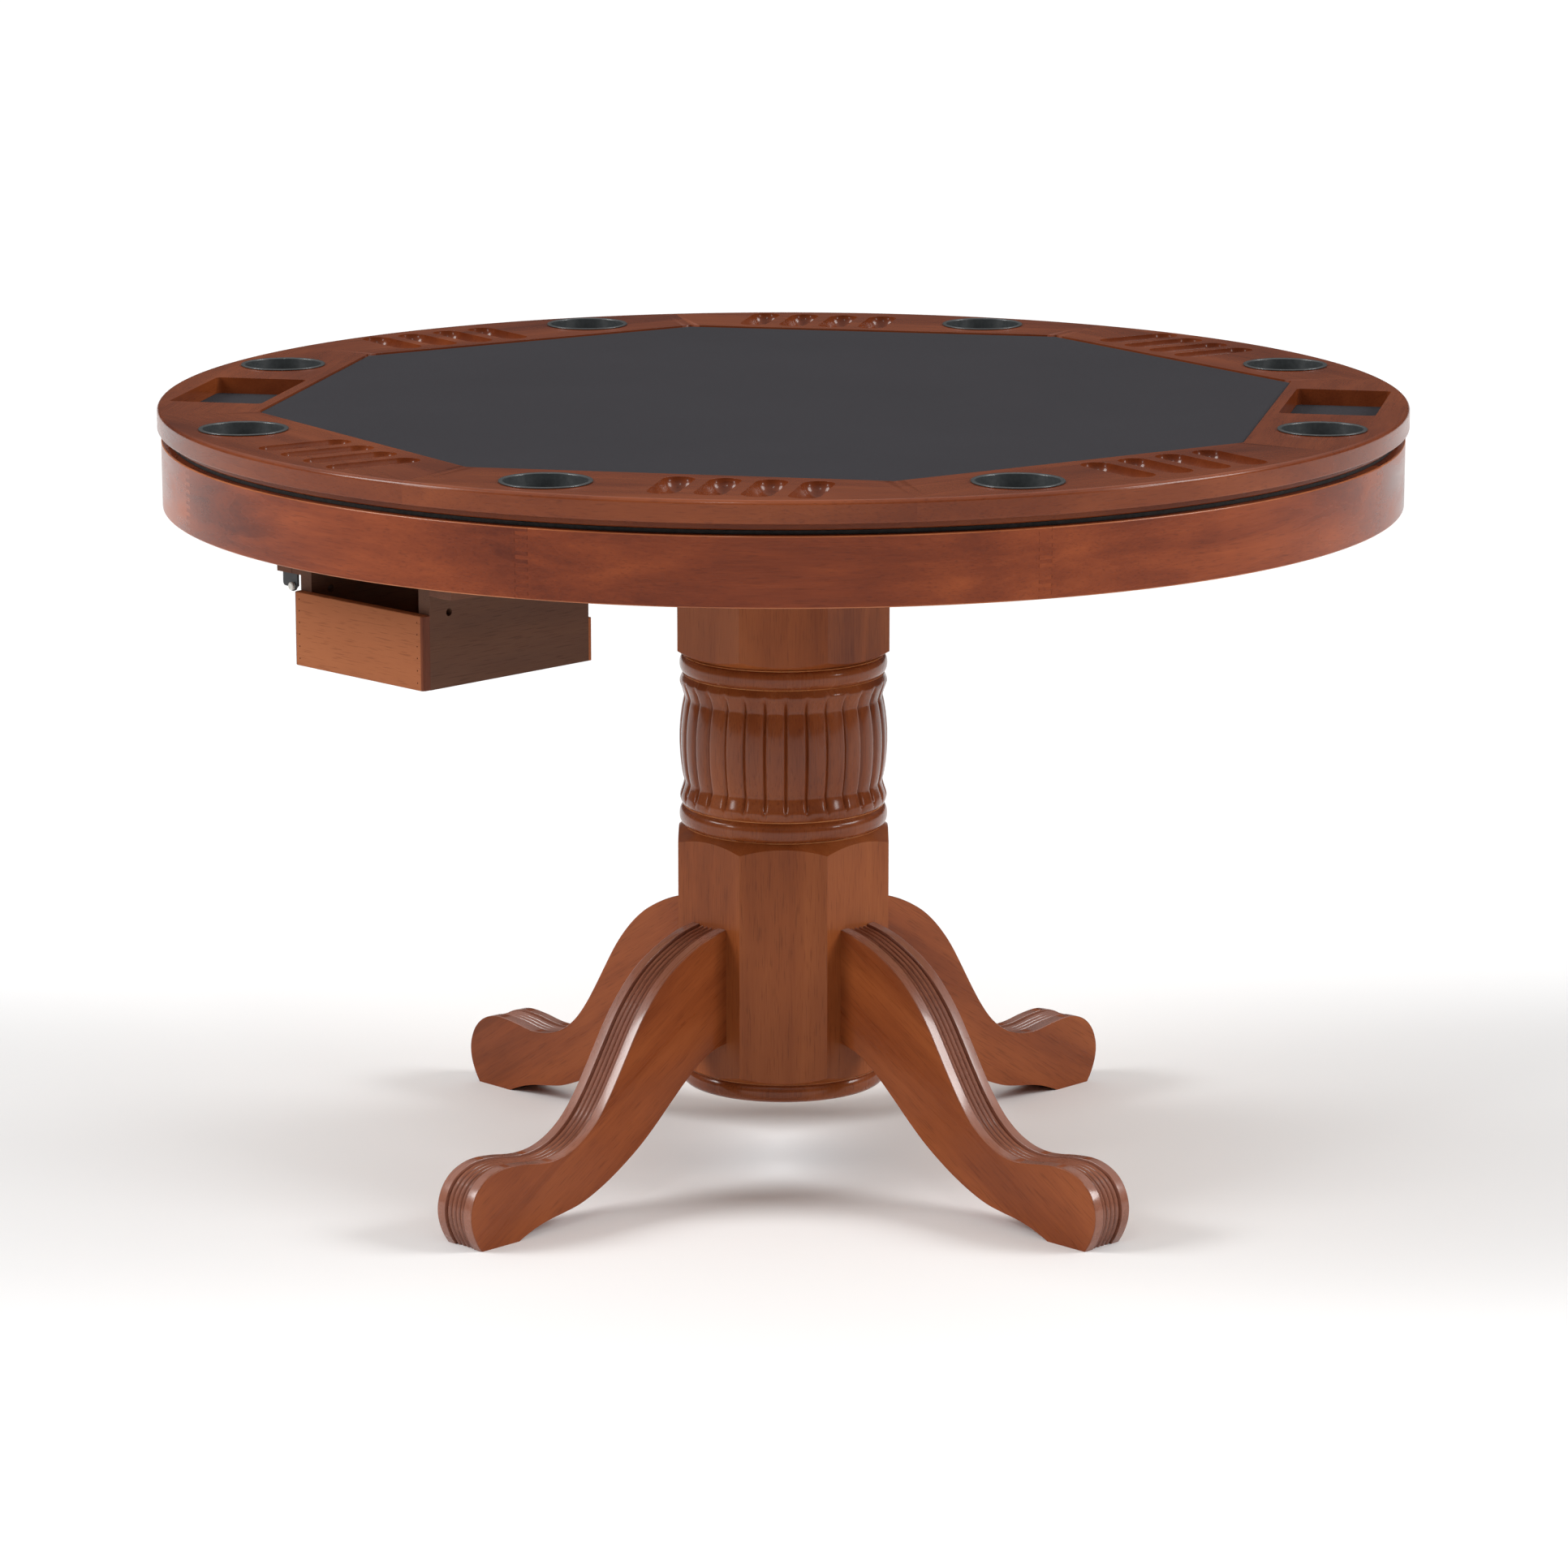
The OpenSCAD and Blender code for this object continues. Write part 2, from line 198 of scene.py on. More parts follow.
def plain(name, colour, rough, metallic=0.0, noise_scale=300.0, vary=0.08, bump=0.05, coat=0.0):
    """Moulded plastic, painted or plated metal, rubber: even colour with fine texture."""
    mat, nt, bsdf = new_material(name)
    L = nt.links.new
    tc = node(nt, "ShaderNodeTexCoord")
    n = node(nt, "ShaderNodeTexNoise", Scale=noise_scale, Detail=3.0)
    L(tc.outputs["Object"], n.inputs["Vector"])
    c0 = tuple(max(0.0, v * (1 - vary)) for v in colour[:3]) + (1,)
    c1 = tuple(min(1.0, v * (1 + vary)) for v in colour[:3]) + (1,)
    r = ramp(nt, [(0.35, c0), (0.65, c1)])
    L(n.outputs["Fac"], r.inputs[0])
    L(r.outputs[0], bsdf.inputs["Base Color"])
    rr = ramp(nt, [(0.3, (rough * 0.85,) * 3 + (1,)), (0.7, (min(1, rough * 1.15),) * 3 + (1,))])
    L(n.outputs["Fac"], rr.inputs[0])
    L(rr.outputs[0], bsdf.inputs["Roughness"])
    b = node(nt, "ShaderNodeBump", Strength=bump, Distance=0.0004)
    L(n.outputs["Fac"], b.inputs["Height"])
    L(b.outputs[0], bsdf.inputs["Normal"])
    bsdf.inputs["Metallic"].default_value = metallic
    bsdf.inputs["Coat Weight"].default_value = coat
    return mat


def felt_material():
    mat, nt, bsdf = new_material("felt_cloth")
    L = nt.links.new
    tc = node(nt, "ShaderNodeTexCoord")
    fibre = node(nt, "ShaderNodeTexNoise", Scale=1400.0, Detail=4.0, Roughness=0.75)
    L(tc.outputs["Object"], fibre.inputs["Vector"])
    patch = node(nt, "ShaderNodeTexNoise", Scale=6.0, Detail=3.0)
    L(tc.outputs["Object"], patch.inputs["Vector"])
    lint = node(nt, "ShaderNodeTexVoronoi", Scale=85.0)
    L(tc.outputs["Object"], lint.inputs["Vector"])
    tone = math_node(nt, "ADD", math_node(nt, "MULTIPLY", fibre.outputs["Fac"], 0.93),
                     math_node(nt, "MULTIPLY", patch.outputs["Fac"], 0.07))
    col = ramp(nt, [(0.33, srgb(32, 30, 33)), (0.5, srgb(43, 41, 45)), (0.68, srgb(55, 53, 57))])
    L(tone, col.inputs[0])
    fleck = ramp(nt, [(0.028, (1, 1, 1, 1)), (0.045, (0, 0, 0, 1))])
    L(lint.outputs["Distance"], fleck.inputs[0])
    mix = node(nt, "ShaderNodeMix", data_type="RGBA", blend_type="MIX")
    f = math_node(nt, "MULTIPLY", fleck.outputs[0], 0.35)
    L(f, mix.inputs["Factor"])
    L(col.outputs[0], mix.inputs["A"])
    mix.inputs["B"].default_value = srgb(150, 148, 156)
    L(mix.outputs["Result"], bsdf.inputs["Base Color"])
    bsdf.inputs["Roughness"].default_value = 0.95
    bsdf.inputs["Sheen Weight"].default_value = 0.04
    bsdf.inputs["Sheen Roughness"].default_value = 0.5
    bsdf.inputs["Specular IOR Level"].default_value = 0.05
    b = node(nt, "ShaderNodeBump", Strength=0.5, Distance=0.0005)
    L(fibre.outputs["Fac"], b.inputs["Height"])
    L(b.outputs[0], bsdf.inputs["Normal"])
    return mat


TOP_TONES = (srgb(88, 37, 17), srgb(111, 51, 24), srgb(131, 65, 32))
APRON_TONES = (srgb(82, 29, 11), srgb(120, 52, 23), srgb(150, 72, 34))
COL_TONES = (srgb(108, 51, 23), srgb(136, 71, 35), srgb(156, 87, 46))
LEG_TONES = (srgb(101, 47, 20), srgb(129, 64, 31), srgb(153, 82, 41))
# pale tones of the painted highlight lines at the column's joints
JOINT_HIGHLIGHT_TONES = (srgb(150, 84, 44), srgb(182, 112, 66), srgb(204, 138, 90))
M = {
    "top": wood("top_wood", *TOP_TONES, grain="Y", rough=0.26, figure=0.7, coat=0.3),
    "edge": wood("dining_wood", *TOP_TONES, grain="X", rough=0.34, seed=2.0, figure=0.7),
    "apron": wood("apron_wood", *APRON_TONES, grain="Y", rough=0.26, coat=0.2, seed=5.0),
    "column": wood("column_wood", *COL_TONES, grain="Z", rough=0.34, seed=1.0, figure=0.8),
    "block": wood("column_block_wood", *COL_TONES, grain="Z", rough=0.34, seed=1.5, cad=True),
    "turned": wood("turned_wood", srgb(92, 42, 20), srgb(124, 62, 30), srgb(148, 80, 42),
                   grain="Z", rough=0.24, coat=0.35, seed=3.0, figure=0.45),
    "highlight_ring": wood("fillet_wood", *JOINT_HIGHLIGHT_TONES, grain="Z", rough=0.4, seed=9.0),
    # painted highlight: paler wood for the apron's rounded top and bottom edges, standing in for their
    # highlight lines
    "edge_highlight": wood("apron_edge_highlight", srgb(132, 70, 38), srgb(160, 90, 52), srgb(184, 112, 70),
                 grain="Y", rough=0.3, coat=0.3, seed=9.5),
    # painted sheen: a paler, greyer copy of the leg wood for the reeded tops, standing in for the sheen they
    # catch from above
    "leg_top": wood("leg_top_wood", srgb(104, 61, 45), srgb(128, 79, 61), srgb(150, 97, 77),
                    grain="X", tilt=-32.0, rough=0.26, coat=0.45, seed=4.5, figure=0.5, spec=0.3),
    "cleat": wood("cleat_wood", srgb(92, 58, 44), srgb(112, 74, 58), srgb(130, 90, 70),
                  grain="X", turn=-45.0, rough=0.55, coat=0.0, seed=7.5, figure=0.6, cad=True),
    "panel_face": wood("box_front_wood", srgb(134, 74, 44), srgb(146, 86, 54), srgb(158, 96, 62),
                       grain="Y", rough=0.6, coat=0.0, seed=8.0, figure=0.3, spec=0.1, fibre=0.15),
    "panel_end": wood("box_end_wood", srgb(84, 40, 22), srgb(104, 52, 30), srgb(124, 66, 40),
                      grain="Z", rough=0.4, coat=0.1, seed=8.5, figure=0.6),
    "leg": wood("leg_wood", *LEG_TONES, grain="X", tilt=-32.0, rough=0.3, coat=0.2, seed=4.0),
    "board": wood("bare_board", srgb(140, 104, 70), srgb(170, 132, 94), srgb(192, 156, 118),
                  grain="X", rough=0.6, coat=0.0, seed=6.0, cad=True),
    "box_dark": wood("box_side_wood", srgb(84, 55, 42), srgb(96, 65, 50), srgb(108, 75, 58),
                     grain="X", turn=-45.0, rough=0.6, coat=0.0, seed=7.0, figure=0.5, cad=True, spec=0.15),
    "box_back": wood("box_back_wood", srgb(150, 82, 46), srgb(164, 94, 56), srgb(178, 106, 66),
                      grain="Y", turn=-45.0, rough=0.6, coat=0.0, seed=8.0, figure=0.4, cad=True, spec=0.15),
    "felt": felt_material(),
    "cup": plain("cup_plastic", srgb(56, 59, 60), 0.34, coat=0.3),
    "rubber": plain("rest_rubber", srgb(18, 14, 12), 0.7),
    "steel": plain("black_steel", srgb(36, 37, 39), 0.42, coat=0.1),
    "zinc": plain("zinc_steel", (0.55, 0.55, 0.57, 1), 0.32, metallic=1.0),
    "nylon": plain("nylon", srgb(228, 226, 218), 0.4),
}


# ---------------------------------------------------------------- mesh helpers
def finish_mesh(obj, angle):
    me = obj.data
    for poly in me.polygons:
        poly.use_smooth = True
    me.set_sharp_from_angle(angle=math.radians(angle))


def place(obj, rot=0.0, shift=(0, 0, 0)):
    """Keeps the piece's own coordinates for its grain, then turns it about Z and shifts it, in the mesh."""
    me = obj.data
    grain = me.attributes.new("grain", "FLOAT_VECTOR", "POINT")
    for v in me.vertices:
        grain.data[v.index].vector = v.co
    me.transform(Matrix.Translation(Vector(shift) * MM) @ Matrix.Rotation(math.radians(rot), 4, "Z"))


def mesh_piece(name, verts, faces, body, mat, rot=0.0, angle=32.0, shift=(0, 0, 0),
               finish=True):
    """A new piece from millimetre vertices in its own frame, turned about Z and shifted."""
    me = bpy.data.meshes.new(name)
    me.from_pydata([(x * MM, y * MM, z * MM) for x, y, z in verts], [], faces)
    me.validate()
    obj = bpy.data.objects.new(name, me)
    bpy.context.scene.collection.objects.link(obj)
    bm = bmesh.new()
    bm.from_mesh(me)
    bmesh.ops.remove_doubles(bm, verts=bm.verts, dist=1e-6)
    bmesh.ops.recalc_face_normals(bm, faces=bm.faces)
    bm.to_mesh(me)
    bm.free()
    if finish:
        finish_mesh(obj, angle)
        place(obj, rot, shift)
    elif any(shift):
        me.transform(Matrix.Translation(Vector(shift) * MM))
    if mat is not None:
        me.materials.append(mat)
    if body is not None:
        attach(obj, body)
    return obj


def lathe(profile, n=128, closed=True):
    """Vertices and faces of a profile [(r, z), ...] turned about Z."""
    verts, faces, rows = [], [], []
    for r, z in profile:
        if r < 1e-6:
            rows.append([len(verts)])
            verts.append((0.0, 0.0, z))
        else:
            rows.append(list(range(len(verts), len(verts) + n)))
            verts += [(r * math.cos(2 * math.pi * i / n), r * math.sin(2 * math.pi * i / n), z)
                      for i in range(n)]
    pairs = list(zip(rows, rows[1:] + rows[:1])) if closed else list(zip(rows, rows[1:]))
    for a, b in pairs:
        if len(a) == 1 and len(b) == 1:
            continue
        for i in range(n):
            j = (i + 1) % n
            if len(a) == 1:
                faces.append((a[0], b[i], b[j]))
            elif len(b) == 1:
                faces.append((a[i], b[0], a[j]))
            else:
                faces.append((a[i], b[i], b[j], a[j]))
    return verts, faces


def spline(points, per=6):
    """Smooth curve through points (Catmull-Rom), per steps between each pair."""
    out = []
    p = [points[0]] + list(points) + [points[-1]]
    for i in range(1, len(p) - 2):
        for s in range(per):
            t = s / per
            out.append(tuple(
                0.5 * (2 * p[i][k] + (p[i + 1][k] - p[i - 1][k]) * t
                       + (2 * p[i - 1][k] - 5 * p[i][k] + 4 * p[i + 1][k] - p[i + 2][k]) * t * t
                       + (3 * p[i][k] - p[i - 1][k] - 3 * p[i + 1][k] + p[i + 2][k]) * t ** 3)
                for k in range(len(p[i]))))
    out.append(tuple(points[-1]))
    return out


def arc(cx, cz, r, a0, a1, n):
    return [(cx + r * math.cos(math.radians(a0 + (a1 - a0) * i / n)),
             cz + r * math.sin(math.radians(a0 + (a1 - a0) * i / n))) for i in range(n + 1)]


def cut(obj, cutters):
    """Takes the cutters out of obj, and removes them."""
    for c in cutters:
        m = obj.modifiers.new("cut", "BOOLEAN")
        m.operation = "DIFFERENCE"
        m.solver = "EXACT"
        m.object = c
    bpy.context.view_layer.update()
    dg = bpy.context.evaluated_depsgraph_get()
    me = bpy.data.meshes.new_from_object(obj.evaluated_get(dg))
    obj.modifiers.clear()
    old = obj.data
    obj.data = me
    bpy.data.meshes.remove(old)
    for c in cutters:
        bpy.data.objects.remove(c)


def even_normals(obj):
    """Keeps broad faces flat beside narrow rounded edges."""
    w = obj.modifiers.new("normals", "WEIGHTED_NORMAL")
    w.keep_sharp = True
    w.weight = 80


def soften(obj, keep, rot, width=1.0, segments=3, angle=28.0):
    """Rounds every sharp edge that keep() accepts, then evens the normals."""
    bm = bmesh.new()
    bm.from_mesh(obj.data)
    bm.normal_update()
    floats = bm.edges.layers.float
    layer = floats.get("bevel_weight_edge") or floats.new("bevel_weight_edge")
    limit = math.radians(angle)
    for e in bm.edges:
        if len(e.link_faces) == 2 and e.calc_face_angle(0) > limit:
            a, b = (v.co / MM for v in e.verts)
            e.smooth = False
            if keep(a, b):
                e[layer] = 1.0
    bm.to_mesh(obj.data)
    bm.free()
    for poly in obj.data.polygons:
        poly.use_smooth = True
    if rot is not None:
        place(obj, rot)
    m = obj.modifiers.new("round", "BEVEL")
    m.width = width * MM
    m.segments = segments
    m.limit_method = "WEIGHT"
    m.harden_normals = False
    m.use_clamp_overlap = True
    even_normals(obj)


def soften_cad(name, width, segments=3, angle=30.0):
    """Rounded edges on a CAD node, which keeps its own mesh."""
    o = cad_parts[name]
    m = o.modifiers.new("round", "BEVEL")
    m.width = width * MM
    m.segments = segments
    m.limit_method = "ANGLE"
    m.angle_limit = math.radians(angle)
    m.harden_normals = False
    even_normals(o)


# ---------------------------------------------------------------- top rim
def rim_segment(k):
    """One eighth of the rim, with a cup hole and either four chip slots or a tray."""
    name = "rim_segment_%d" % (k + 1)
    steps = 44
    outer = ([(TOP_R - 1.6, RIM_Z0)] + arc(TOP_R - 1.6, RIM_Z0 + 1.6, 1.6, -90, 0, 4)[1:]
             + arc(TOP_R - 4.2, TOP_Z - 4.2, 4.2, 0, 90, 8))
    verts, faces = [], []
    cols = len(outer) + 2
    for i in range(steps + 1):
        t = math.radians(-HALF_SEGMENT + SEGMENT * i / steps)
        r_in = APOTHEM / math.cos(t)
        ring = [(r_in, RIM_Z0)] + outer + [(r_in, TOP_Z)]
        verts += [(r * math.cos(t), r * math.sin(t), z) for r, z in ring]
    for i in range(steps):
        for j in range(cols):
            a, b = i * cols + j, i * cols + (j + 1) % cols
            faces.append((a, b, b + cols, a + cols))
    faces.append(tuple(range(cols)))
    faces.append(tuple(range(steps * cols, (steps + 1) * cols)))
    obj = mesh_piece(name, verts, faces, None, M["top"], finish=False)
    a = math.radians(CUP_TURN)
    hole_r = CUP_R + 0.2
    v, f = lathe([(0, RIM_Z0 - 2), (hole_r, RIM_Z0 - 2), (hole_r, TOP_Z + 2), (0, TOP_Z + 2)], 96, False)
    cutters = [mesh_piece("cutter", v, f, None, None, finish=False,
                          shift=(CUP_CIRCLE * math.cos(a), CUP_CIRCLE * math.sin(a), 0))]
    if k in (0, 4):
        cutters.append(tray_cutter())
    else:
        for i in range(4):
            cutters.append(slot_cutter(SLOT_X, SLOT_Y + SLOT_PITCH * i))
    cut(obj, cutters)
    tan = math.tan(math.radians(HALF_SEGMENT))

    def keep(p, q):
        if min(p.z, q.z) < RIM_Z0 + 2.0:
            return False
        for e in (p, q):
            if abs(abs(e.y) - e.x * tan) < 0.4:
                return False
            if math.hypot(e.x, e.y) > TOP_R - 5:
                return False
        if abs(p.x - APOTHEM) < 0.1 and abs(q.x - APOTHEM) < 0.1:
            return abs(p.z - TOP_Z) < 0.1 and abs(q.z - TOP_Z) < 0.1
        return abs(p.z - TOP_Z) < 0.1 and abs(q.z - TOP_Z) < 0.1 or k in (0, 4)
    soften(obj, keep, TURN + 45 * k, 1.6, 4)
    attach(obj, "top")
    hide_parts("top_rim_%d" % (k + 1))


def slot_cutter(x, y):
    """A round-bottomed slot with round ends, long way along X, sunk into the top."""
    n, rings = 32, 8
    prof = []
    for i in range(rings + 1):
        a = math.pi / 2 * i / rings
        prof.append((-SLOT_HALF - SLOT_R * math.cos(a), SLOT_R * math.sin(a)))
    for i in range(rings + 1):
        a = math.pi / 2 * i / rings
        prof.append((SLOT_HALF + SLOT_R * math.sin(a), SLOT_R * math.cos(a)))
    verts, faces = [], []
    for px, pr in prof[1:-1]:
        verts += [(x + px, y + pr * math.cos(2 * math.pi * i / n), TOP_Z + pr * math.sin(2 * math.pi * i / n))
                  for i in range(n)]
    rows = len(prof) - 2
    for j in range(rows - 1):
        for i in range(n):
            faces.append((j * n + i, j * n + (i + 1) % n, (j + 1) * n + (i + 1) % n, (j + 1) * n + i))
    lo, hi = len(verts), len(verts) + 1
    verts += [(x + prof[0][0], y, TOP_Z), (x + prof[-1][0], y, TOP_Z)]
    for i in range(n):
        faces.append((lo, (i + 1) % n, i))
        faces.append((hi, (rows - 1) * n + i, (rows - 1) * n + (i + 1) % n))
    return mesh_piece("cutter", verts, faces, None, None, finish=False)


def rounded_rect(w, l, r, n=5):
    pts = []
    for cx, cy, a0 in ((w / 2 - r, l / 2 - r, 0), (-w / 2 + r, l / 2 - r, 90),
                       (-w / 2 + r, -l / 2 + r, 180), (w / 2 - r, -l / 2 + r, 270)):
        pts += arc(cx, cy, r, a0, a0 + 90, n)
    return pts


def prism(pts, z0, z1):
    n = len(pts)
    verts = [(x, y, z0) for x, y in pts] + [(x, y, z1) for x, y in pts]
    faces = [tuple(range(n)), tuple(range(n, 2 * n))]
    faces += [(i, (i + 1) % n, n + (i + 1) % n, n + i) for i in range(n)]
    return verts, faces


def tray_cutter():
    pts = [(TRAY_X + x, TRAY_Y + y) for x, y in rounded_rect(93, 161, 5)]
    v, f = prism(pts, TRAY_Z, TOP_Z + 5)
    return mesh_piece("cutter", v, f, None, None, finish=False)


for k in range(8):
    rim_segment(k)


# ---------------------------------------------------------------- cloths
def octagon_sheet(name):
    """The playing cloth: flat, rolled down a little where it meets the rim."""
    r_max = FELT_R - 0.35
    top, low = 772.8, 771.35
    rings = [(0.0, top), (0.35, top), (0.7, top), (0.985, top), (0.9935, top - 0.05),
             (0.9972, top - 0.35), (1.0, top - 0.9), (1.0, low), (0.0, low)]
    verts, faces, rows = [], [], []
    per = 12
    for s, z in rings:
        if s == 0:
            rows.append([len(verts)])
            verts.append((0, 0, z))
            continue
        row = []
        for i in range(8):
            a, b = (math.radians(22.5 + 45 * (i + d)) for d in (0, 1))
            for j in range(per):
                t = j / per
                row.append(len(verts))
                verts.append((s * r_max * (math.cos(a) * (1 - t) + math.cos(b) * t),
                              s * r_max * (math.sin(a) * (1 - t) + math.sin(b) * t), z))
        rows.append(row)
    for a, b in zip(rows, rows[1:]):
        n = max(len(a), len(b))
        for i in range(n):
            j = (i + 1) % n
            if len(a) == 1:
                faces.append((a[0], b[i], b[j]))
            elif len(b) == 1:
                faces.append((a[i], b[0], a[j]))
            else:
                faces.append((a[i], b[i], b[j], a[j]))
    obj = mesh_piece(name, verts, faces, "top", M["felt"], rot=TURN, angle=50)
    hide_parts("playing_felt")


octagon_sheet("playing_cloth")
for side, k in (("right", 0), ("left", 4)):
    pts = [(TRAY_X + x, TRAY_Y + y) for x, y in rounded_rect(92.4, 160.4, 4.8)]
    v, f = prism(pts, TRAY_Z + 0.02, TRAY_Z + 1.2)
    tray_cloth = mesh_piece("tray_cloth_" + side, v, f, "top", M["felt"], rot=TURN + 45 * k, angle=40)
    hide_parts("tray_felts")

# dining face under the top, with its rounded edge
v, f = lathe([(0, 746.0), (598.6, 746.0)] + arc(599.0, 748.0, 2.0, -90, 0, 5)[1:]
             + [(601.0, 752.0), (600.4, 752.6), (0, 752.6)], 256, False)
dining = mesh_piece("dining_face", v, f, "top", M["edge"])
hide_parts("dining_panel")


# ---------------------------------------------------------------- drink cups
CUP_PROFILE = ([(0, 753.6), (36.2, 753.6)] + arc(38.2, 755.6, 2.0, -90, 0, 4)[1:]
               + [(40.2, 773.9), (42.0, 774.0)] + arc(41.7, 774.8, 0.8, -90, 90, 8)
               + [(40.0, 775.5)] + arc(39.4, 774.4, 1.2, 90, 180, 5)[1:]
               + [(38.2, 757.4)] + arc(36.4, 757.0, 1.8, 0, -90, 4)[1:] + [(34.0, 755.2), (33.0, 755.7),
                 (31.0, 755.7), (30.0, 755.2), (0, 755.2)])
for k in range(8):
    a = math.radians(TURN + 45 * k + CUP_TURN)
    v, f = lathe(CUP_PROFILE, 96, False)
    cup = mesh_piece("drink_cup_%d" % (k + 1), v, f, "cup_%d" % (k + 1), M["cup"],
                     shift=(CUP_CIRCLE * math.cos(a), CUP_CIRCLE * math.sin(a), 0), angle=40)
    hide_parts("cup_liner_%d" % (k + 1))


# ---------------------------------------------------------------- apron
def apron_segment(k):
    """A curved rail whose ends are cut into interlocking fingers."""
    ro, ri = APRON_OUT, APRON_IN
    rows = 18
    finger = math.degrees(6.2 / ro)
    hair = math.degrees(0.12 / ro)
    mid = 36
    cols = [-22.5 - finger + hair, -22.5 + finger + hair]
    cols += [-22.5 + finger + (45 - 2 * finger) * i / mid for i in range(1, mid)]
    cols += [22.5 - finger - hair, 22.5 + finger - hair]
    zs = [APRON_Z0 + (APRON_Z1 - APRON_Z0) * i / rows for i in range(rows + 1)]
    nc = len(cols) - 1

    def solid(i, j):
        if not (0 <= i < nc and 0 <= j < rows):
            return False
        if i == 0:
            return j % 2 == 0
        if i == nc - 1:
            return j % 2 == 1
        return True

    verts, index, faces = [], {}, []

    def vert(i, j, inner):
        key = (i, j, inner)
        if key not in index:
            t = math.radians(cols[i])
            r = ri if inner else ro
            index[key] = len(verts)
            verts.append((r * math.cos(t), r * math.sin(t), zs[j]))
        return index[key]

    for i in range(nc):
        for j in range(rows):
            if not solid(i, j):
                continue
            loop = ((i, j), (i + 1, j), (i + 1, j + 1), (i, j + 1))
            faces.append(tuple(vert(a, b, False) for a, b in loop))
            faces.append(tuple(vert(a, b, True) for a, b in (loop[0], loop[3], loop[2], loop[1])))
            for di, dj, e in ((-1, 0, ((i, j), (i, j + 1))), (1, 0, ((i + 1, j), (i + 1, j + 1))),
                              (0, -1, ((i, j), (i + 1, j))), (0, 1, ((i, j + 1), (i + 1, j + 1)))):
                if not solid(i + di, j + dj):
                    (a, b), (c, d) = e
                    faces.append((vert(a, b, False), vert(c, d, False),
                                  vert(c, d, True), vert(a, b, True)))
    obj = mesh_piece("apron_rail_%d" % k, verts, faces, None, M["apron"], finish=False)

    def keep(p, q):
        if abs(p.z - q.z) > 0.1 or math.hypot(p.x, p.y) < ro - 1 or math.hypot(q.x, q.y) < ro - 1:
            return False
        return min(abs(p.z - APRON_Z0), abs(p.z - APRON_Z1)) < 0.1
    # the rounded top and bottom edges take the paler wood: a painted highlight line
    obj.data.materials.append(M["edge_highlight"])
    soften(obj, keep, 45 * k, 1.1, 3)
    obj.modifiers["round"].material = 1
    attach(obj, "base")
    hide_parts("apron_%d" % k)


for k in range(1, 9):
    apron_segment(k)


# ---------------------------------------------------------------- column
def ring_piece(name, profile, cad, mat="turned", n=160):
    v, f = lathe(profile, n, False)
    obj = mesh_piece(name, v, f, "base", M[mat], angle=40)
    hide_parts(cad)


ring_piece("upper_bead", [(0, 500), (98.6, 500), (99.3, 500.4)]
           + [(98.6 + 4.2 * math.cos(math.radians(a)), 509.6 + 8.4 * math.sin(math.radians(a)))
              for a in range(-75, 90, 12)] + [(97.6, 518.6), (97.0, 519), (0, 519)], "upper_bead_ring")
ring_piece("lower_bead", [(0, 347), (97.5, 347), (98.0, 347.2)]
           + [(98.6 + 4.6 * math.cos(math.radians(a)), 357.2 + 9.2 * math.sin(math.radians(a)))
              for a in range(-80, 84, 12)] + [(98.8, 367.2), (98.4, 368), (0, 368)], "lower_bead_ring")
ring_piece("base_bead", [(60, 85.2), (98.2, 85.2), (99.0, 85.4)]
           + [(98.4 + 4.6 * math.cos(math.radians(a)), 94.2 + 8.4 * math.sin(math.radians(a)))
              for a in range(-75, 76, 12)] + [(100.6, 103.4), (100.6, 104), (60, 104), (60, 85.2)],
           "column_base_ring")


def highlight_ring(name, r, z):
    """A thin raised ring where two turned parts meet, in pale wood as a painted highlight line."""
    v, f = lathe([(r - 1.5, z - 0.75), (r, z - 0.6), (r + 0.4, z), (r, z + 0.6), (r - 1.5, z + 0.75)], 160)
    mesh_piece(name, v, f, "base", M["highlight_ring"], angle=60)


# painted highlight: pale lines where the turned parts meet
for i, (r, z) in enumerate([(99.6, 519.0), (99.5, 500.0), (99.7, 368.0), (98.2, 347.0), (100.9, 103.6)]):
    highlight_ring("fillet_%d" % (i + 1), r, z)


